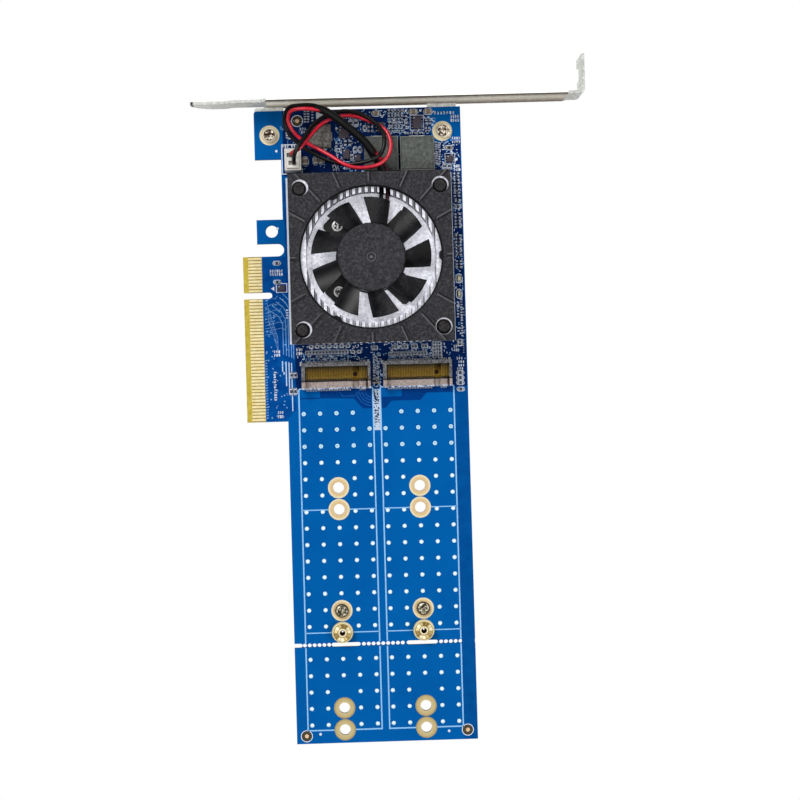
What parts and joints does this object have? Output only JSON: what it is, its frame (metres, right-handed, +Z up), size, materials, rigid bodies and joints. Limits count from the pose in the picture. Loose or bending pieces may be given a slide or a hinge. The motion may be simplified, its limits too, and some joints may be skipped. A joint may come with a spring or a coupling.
{
  "type": "nvme adapter card",
  "caption": "Long blue expansion card with a metal bracket, a fan-cooled controller and a break-off board that carries two side-by-side M.2 storage modules.",
  "frame": {"origin": "middle of the card's bounding box, on the plane of the bracket's lower edge", "axes": "+X from the edge contacts to the opposite long edge, +Y towards the bracket, +Z up from the component side"},
  "size_m": [0.121, 0.21, 0.0184],
  "materials": {
    "board_laminate": "blue solder mask over glass-fibre laminate, semi-gloss",
    "gold_plating": "gold flash on copper",
    "solder_plating": "gold-plated pads",
    "bracket_steel": "nickel-plated sheet steel, satin",
    "screw_steel": "yellow-zinc plated",
    "plain_steel": "bright zinc plated",
    "dark_steel": "dark nickel plated",
    "standoff_brass": "turned brass",
    "chip_epoxy": "moulded epoxy",
    "thermal_compound": "soft thermal pad",
    "heatsink_aluminium": "bright extruded and turned aluminium",
    "cover_plastic": "black satin moulding",
    "fan_plastic": "black satin moulding",
    "pin_nylon": "black nylon",
    "spring_steel": "drawn wire",
    "fan_board_laminate": "green solder mask",
    "core_steel": "stacked steel sheets",
    "copper_wire": "enamelled copper wire",
    "bearing_bronze": "sintered bronze",
    "yoke_steel": "drawn steel ring",
    "magnet_ferrite": "bonded ferrite",
    "socket_plastic": "grey-beige high-temperature plastic",
    "contact_gold": "gold-plated spring contacts",
    "inductor_composite": "pressed grey-green iron composite",
    "inductor_small": "pressed grey iron composite",
    "capacitor_ceramic": "tan ceramic with tinned ends",
    "resistor_ceramic": "black film on white ceramic",
    "lamp_resin": "clear resin over a yellow lamp",
    "header_nylon": "off-white nylon",
    "plug_nylon": "off-white nylon",
    "pin_tin": "tinned brass",
    "black_insulation": "black PVC",
    "red_insulation": "red PVC",
    "sleeve_polyolefin": "black heat-shrink"
  },
  "bodies": {
    "card": {"pcb": "board_laminate", "edge_contacts": "gold_plating", "solder_pads": "solder_plating", "bracket": "bracket_steel", "bracket_screws": "screw_steel", "switch_chip": "chip_epoxy", "thermal_pad": "thermal_compound", "heatsink": "heatsink_aluminium", "push_pins": "pin_nylon", "push_pin_springs": "spring_steel", "fan_cover": "cover_plastic", "fan_base": "fan_plastic", "fan_base_screws": "plain_steel", "fan_board": "fan_board_laminate", "stator_core": "core_steel", "stator_coils": "copper_wire", "fan_bearing": "bearing_bronze", "socket_left": "socket_plastic", "socket_right": "socket_plastic", "socket_contacts_left": "contact_gold", "socket_contacts_right": "contact_gold", "standoffs": "standoff_brass", "standoff_nuts": "plain_steel", "module_screws": "dark_steel", "module_screw_nuts": "plain_steel", "power_inductors": "inductor_composite", "filter_inductor": "inductor_small", "regulator_chips": "chip_epoxy", "ceramic_capacitors": "capacitor_ceramic", "chip_resistors": "resistor_ceramic", "status_lamps": "lamp_resin", "fan_header": "header_nylon", "fan_header_pins": "pin_tin", "fan_plug": "plug_nylon", "plug_terminals": "pin_tin", "lead_black": "black_insulation", "lead_red": "red_insulation", "lead_sleeve": "sleeve_polyolefin"},
    "impeller": {"impeller": "fan_plastic", "fan_shaft": "plain_steel", "rotor_yoke": "yoke_steel", "rotor_magnet": "magnet_ferrite"}
  },
  "joints": [
    {"name": "fan_spin", "type": "hinge", "parent": "card", "child": "impeller", "pos_m": [-0.0062, 0.0448, 0.0132], "axis": [0, 0, 1], "continuous": true}
  ]
}
